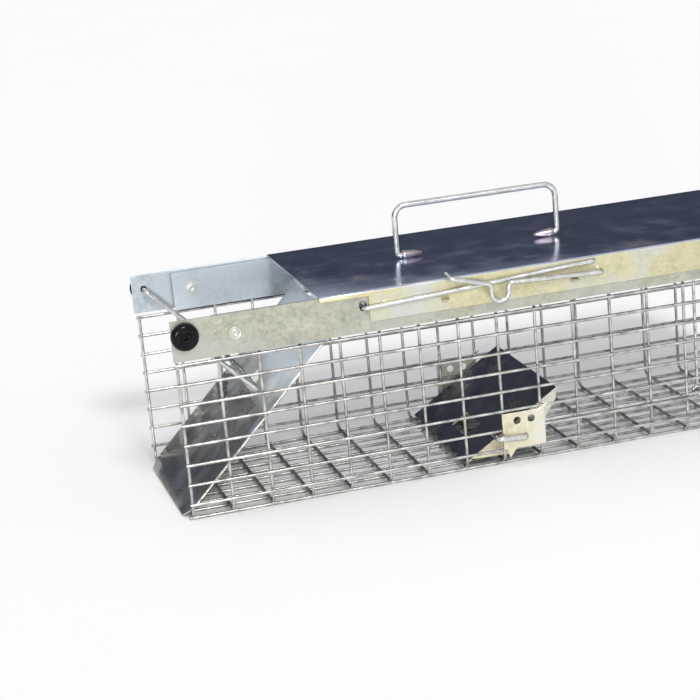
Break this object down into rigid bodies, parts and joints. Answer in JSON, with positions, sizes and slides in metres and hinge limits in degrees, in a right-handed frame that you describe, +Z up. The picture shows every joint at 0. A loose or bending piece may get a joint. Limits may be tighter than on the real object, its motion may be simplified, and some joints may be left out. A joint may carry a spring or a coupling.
{
  "type": "live catch trap",
  "caption": "Welded-mesh live catch trap with a sloping gravity door, a lock bail, a tilting trip pan with rods, and a folding carry handle.",
  "frame": {"origin": "middle of the footprint, on the surface that the floor mesh stands on", "axes": "+X from the entrance to the closed rear end, -Y the side that carries the trip rods, +Z up"},
  "size_m": [0.4424, 0.1466, 0.1655],
  "materials": {
    "mesh_wire": "galvanised",
    "galvanised_sheet": "spangled galvanised",
    "plate_sheet": "bright galvanised",
    "door_sheet": "galvanised",
    "pan_sheet": "satin",
    "bearing_sheet": "zinc plated",
    "zinc_wire": "bright zinc",
    "clip_steel": "zinc plated",
    "rivet_steel": "zinc plated",
    "cap_plastic": "gloss"
  },
  "bodies": {
    "cage": {"mesh_near_side": "mesh_wire", "mesh_far_side": "mesh_wire", "mesh_floor": "mesh_wire", "mesh_rear_end": "mesh_wire", "corner_clips": "clip_steel", "near_outer_rail": "galvanised_sheet", "far_outer_rail": "galvanised_sheet", "near_inner_rail": "galvanised_sheet", "far_inner_rail": "galvanised_sheet", "rail_rivets": "rivet_steel", "top_plate": "plate_sheet", "door_hinge_pin": "zinc_wire", "pan_axle": "zinc_wire", "axle_push_nut": "clip_steel", "near_bearing_plate": "bearing_sheet", "far_bearing_plate": "bearing_sheet"},
    "door": {"door_panel": "door_sheet"},
    "bail": {"lock_bail": "zinc_wire", "near_bail_cap": "cap_plastic", "far_bail_cap": "cap_plastic"},
    "handle": {"carry_handle": "zinc_wire"},
    "pan": {"trip_pan": "pan_sheet", "pan_arm": "zinc_wire"},
    "link": {"trip_link": "zinc_wire"},
    "trip_rod_body": {"trip_rod": "zinc_wire"},
    "catch_rod_body": {"catch_rod": "zinc_wire"}
  },
  "joints": [
    {"name": "door_swing", "type": "hinge", "parent": "cage", "child": "door", "pos_m": [-0.10954, 0, 0.1121], "axis": [0, 1, 0], "range_deg": [0, 44]},
    {"name": "bail_swing", "type": "hinge", "parent": "cage", "child": "bail", "pos_m": [-0.21088, 0, 0.1188], "axis": [0, 1, 0], "range_deg": [-48.5, 0]},
    {"name": "handle_fold", "type": "hinge", "parent": "cage", "child": "handle", "pos_m": [-0.00048, 0, 0.1315], "axis": [1, 0, 0], "range_deg": [-85, 85]},
    {"name": "pan_tilt", "type": "hinge", "parent": "cage", "child": "pan", "pos_m": [-0.00028, 0, 0.0191], "axis": [0, 1, 0], "range_deg": [0, 4]},
    {"name": "link_drop", "type": "slide", "parent": "cage", "child": "link", "axis": [0, 0, 1], "range_m": [-0.00881, 0]},
    {"name": "trip_rod_rock", "type": "hinge", "parent": "cage", "child": "trip_rod_body", "pos_m": [0.05562, 0, 0.1192], "axis": [0, 1, 0], "range_deg": [0, 7.23]},
    {"name": "catch_rod_lift", "type": "hinge", "parent": "cage", "child": "catch_rod_body", "pos_m": [0.05162, 0, 0.1262], "axis": [0, 1, 0], "range_deg": [0, 1.1]}
  ],
  "couplings": [
    {"joint": "bail_swing", "follows": "door_swing", "ratio": -1.1},
    {"joint": "link_drop", "follows": "pan_tilt", "m_per_rad": -0.12598},
    {"joint": "trip_rod_rock", "follows": "pan_tilt", "ratio": 1.8044}
  ]
}
